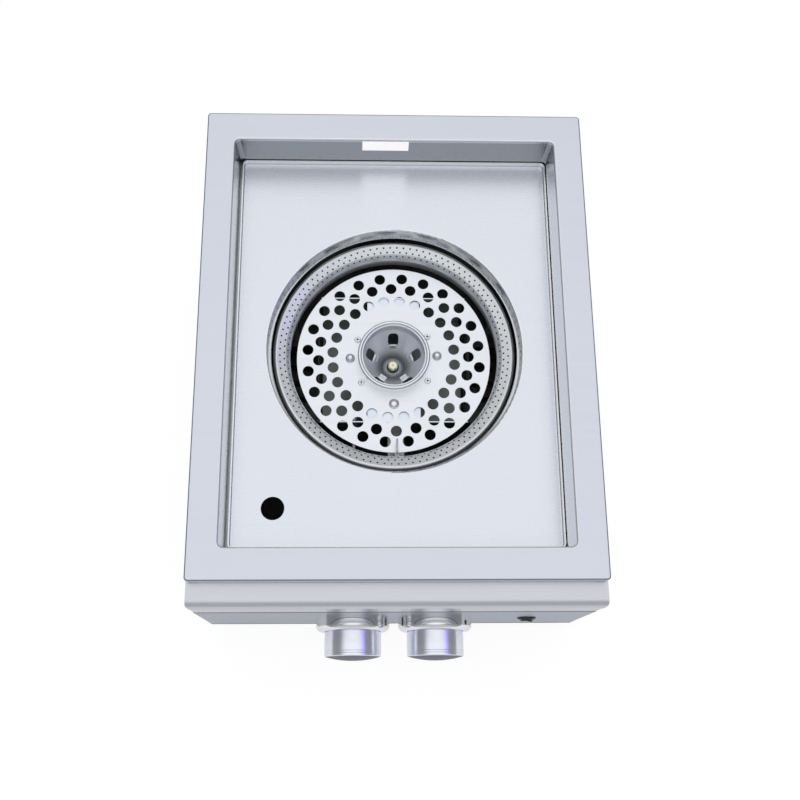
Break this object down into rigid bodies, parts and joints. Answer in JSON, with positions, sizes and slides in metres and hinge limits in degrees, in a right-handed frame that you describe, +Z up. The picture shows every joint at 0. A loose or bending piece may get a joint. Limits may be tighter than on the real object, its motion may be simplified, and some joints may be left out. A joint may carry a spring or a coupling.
{
  "type": "built-in gas side burner",
  "caption": "Drop-in outdoor gas burner: folded rim and deep well, ported ring burner round a perforated plate and louvred cup, housing with knob panel.",
  "frame": {"origin": "under the middle of the whole object, on the surface that the base tray stands on", "axes": "+Z up, +Y to the back, away from the knobs, +X to the right as the user sees it"},
  "size_m": [0.45, 0.6318, 0.24],
  "materials": {
    "brushed_front": "brushed, bright",
    "housing_sheet": "mill finish sheet",
    "inner_sheet": "plain sheet",
    "ring_steel": "satin, warm grey",
    "plate_steel": "satin",
    "cup_steel": "satin",
    "polished_ring": "polished",
    "fixing_steel": "bright",
    "jet_brass": "machined",
    "jet_block": "machined",
    "tube_aluminium": "drawn",
    "venturi_steel": "plain",
    "shutter_steel": "plain",
    "gas_pipe": "satin black",
    "valve_casting": "cast",
    "valve_front": "cast",
    "valve_brass": "machined",
    "stem_steel": "machined",
    "knob_metal": "turned, brushed",
    "bezel_chrome": "mirror",
    "light_ring": "translucent blue",
    "ceramic": "glazed white",
    "igniter_plastic": "matte black",
    "lead_rubber": "silicone, off-white",
    "switch_black": "gloss black"
  },
  "bodies": {
    "body": {"top_frame": "brushed_front", "well_walls": "brushed_front", "drip_pan": "brushed_front", "front_fascia": "brushed_front", "control_panel": "brushed_front", "side_panel_left": "housing_sheet", "side_panel_right": "housing_sheet", "back_panel": "housing_sheet", "base_panel": "housing_sheet", "pan_rests": "inner_sheet", "burner_box": "inner_sheet", "rail_front": "inner_sheet", "rail_rear": "inner_sheet", "electrode_bracket": "inner_sheet", "ring_head": "ring_steel", "ring_base": "ring_steel", "ring_legs": "ring_steel", "perforated_plate": "plate_steel", "burner_cup": "cup_steel", "cup_washer": "cup_steel", "cup_collar": "polished_ring", "cup_screws": "fixing_steel", "support_posts": "fixing_steel", "plate_stud": "fixing_steel", "rail_screws": "fixing_steel", "valve_screws": "fixing_steel", "centre_jet": "jet_brass", "ring_spud": "jet_brass", "inlet_fitting": "jet_brass", "jet_block": "jet_block", "centre_feed_tube": "tube_aluminium", "ring_venturi": "venturi_steel", "manifold_pipe": "gas_pipe", "supply_pipe": "gas_pipe", "valve_body_left": "valve_casting", "valve_body_right": "valve_casting", "valve_cover_left": "valve_front", "valve_cover_right": "valve_front", "spark_wire": "stem_steel", "bezel_left": "bezel_chrome", "bezel_right": "bezel_chrome", "led_ring_left": "light_ring", "led_ring_right": "light_ring", "electrode_ceramic": "ceramic", "piezo_igniter": "igniter_plastic", "ignition_lead": "lead_rubber", "switch_housing": "switch_black"},
    "plug_left": {"valve_plug_left": "valve_brass", "stem_spring_left": "stem_steel"},
    "plug_right": {"valve_plug_right": "valve_brass", "stem_spring_right": "stem_steel"},
    "knob_left_body": {"knob_left": "knob_metal", "valve_stem_left": "stem_steel"},
    "knob_right_body": {"knob_right": "knob_metal", "valve_stem_right": "stem_steel"},
    "light_rocker": {"switch_rocker": "switch_black"},
    "shutter": {"air_shutter": "shutter_steel"}
  },
  "joints": [
    {"name": "valve_turn_left", "type": "hinge", "parent": "body", "child": "plug_left", "pos_m": [-0.0485, -0.2346, 0.08], "axis": [0, -1, 0], "range_deg": [0, 210]},
    {"name": "knob_push_left", "type": "slide", "parent": "plug_left", "child": "knob_left_body", "axis": [0, 1, 0], "range_m": [0, 0.004], "stiffness_N_per_m": 600, "springref_m": -0.004, "deforming": ["stem_spring_left"]},
    {"name": "valve_turn_right", "type": "hinge", "parent": "body", "child": "plug_right", "pos_m": [0.0485, -0.2346, 0.08], "axis": [0, -1, 0], "range_deg": [0, 210]},
    {"name": "knob_push_right", "type": "slide", "parent": "plug_right", "child": "knob_right_body", "axis": [0, 1, 0], "range_m": [0, 0.004], "stiffness_N_per_m": 600, "springref_m": -0.004, "deforming": ["stem_spring_right"]},
    {"name": "light_switch_rock", "type": "hinge", "parent": "body", "child": "light_rocker", "pos_m": [0.158, -0.2661, 0.08], "axis": [0, 0, 1], "range_deg": [0, 16]},
    {"name": "shutter_turn", "type": "hinge", "parent": "body", "child": "shutter", "pos_m": [0.0485, -0.1879, 0.08], "axis": [0, 1, 0], "range_deg": [0, 60]}
  ]
}
